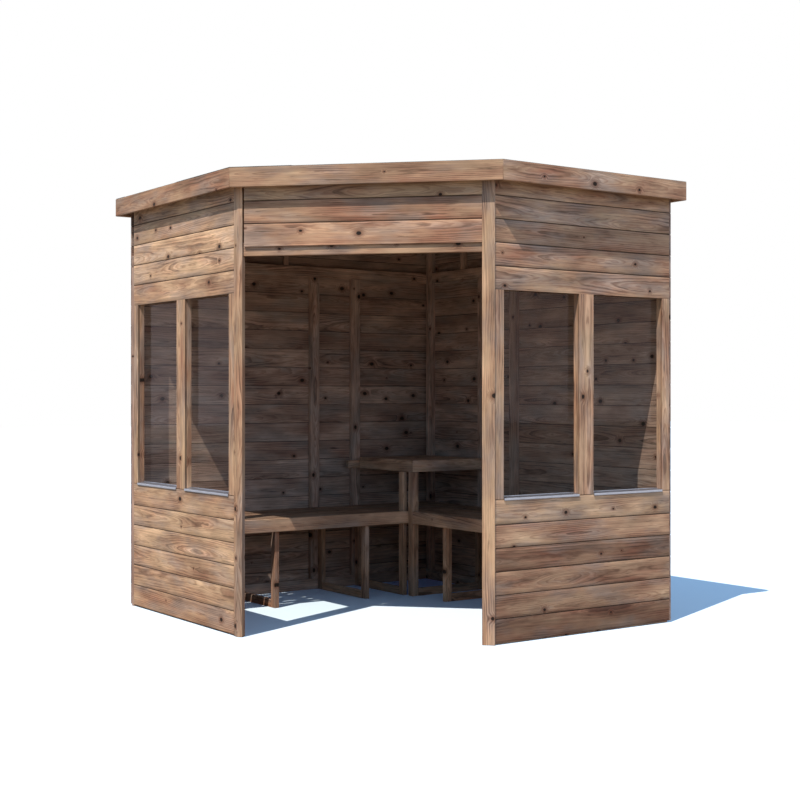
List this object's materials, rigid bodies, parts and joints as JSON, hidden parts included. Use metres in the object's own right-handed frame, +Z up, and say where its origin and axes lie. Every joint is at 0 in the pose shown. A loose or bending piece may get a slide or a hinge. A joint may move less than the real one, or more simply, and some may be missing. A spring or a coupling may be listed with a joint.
{
  "type": "corner garden arbour",
  "caption": "Five-sided timber corner shelter with boarded walls, fixed windows, an open doorway across the corner, built-in slatted benches and a corner table.",
  "frame": {"origin": "on the ground, under the middle of the roof's bounding box", "axes": "+Z up; -X outward from the left window wall and -Y outward from the right window wall, so the doorway faces between -X and -Y"},
  "size_m": [2.177, 2.292, 2.2983],
  "materials": {
    "cladding": "planed softwood, brown pressure-treated and weathered",
    "framing": "planed softwood, brown pressure-treated",
    "bench": "planed softwood, brown pressure-treated",
    "roof_timber": "planed softwood, brown pressure-treated",
    "glass": "clear glazing sheet",
    "aluminium": "mill aluminium section",
    "felt": "mineral-surfaced bitumen felt"
  },
  "bodies": {
    "root": {"left_lower_cladding": "cladding", "left_upper_cladding": "cladding", "left_front_stile": "framing", "left_mullion": "framing", "left_rear_stile": "framing", "left_bottom_plate": "framing", "left_top_plate": "framing", "left_sill_rail": "framing", "left_glazing": "glass", "left_front_drip_bar": "aluminium", "left_rear_drip_bar": "aluminium", "right_lower_cladding": "cladding", "right_upper_cladding": "cladding", "right_front_stile": "framing", "right_mullion": "framing", "right_rear_stile": "framing", "right_bottom_plate": "framing", "right_top_plate": "framing", "right_sill_rail": "framing", "right_glazing": "glass", "right_front_drip_bar": "aluminium", "right_rear_drip_bar": "aluminium", "back_left_cladding": "cladding", "back_left_bottom_plate": "framing", "back_left_top_plate": "framing", "back_left_stud_1": "framing", "back_left_stud_2": "framing", "back_left_stud_3": "framing", "back_left_short_stud": "framing", "back_right_cladding": "cladding", "back_right_bottom_plate": "framing", "back_right_top_plate": "framing", "back_right_stud_1": "framing", "back_right_stud_2": "framing", "back_right_stud_3": "framing", "back_right_short_stud": "framing", "front_left_post": "framing", "front_right_post": "framing", "header_cladding": "cladding", "header_rail": "framing", "roof_deck": "roof_timber", "roofing_felt": "felt", "front_rafter": "roof_timber", "rear_rafter": "roof_timber", "left_fascia": "roof_timber", "front_fascia": "roof_timber", "right_fascia": "roof_timber", "back_right_fascia": "roof_timber", "back_left_fascia": "roof_timber", "left_apron": "bench", "right_apron": "bench", "left_seat": "bench", "right_seat": "bench", "left_seat_frame_1": "bench", "left_seat_frame_2": "bench", "left_seat_frame_3": "bench", "right_seat_frame_1": "bench", "right_seat_frame_2": "bench", "table_leg_frame": "bench", "table_top": "bench"}
  },
  "joints": []
}
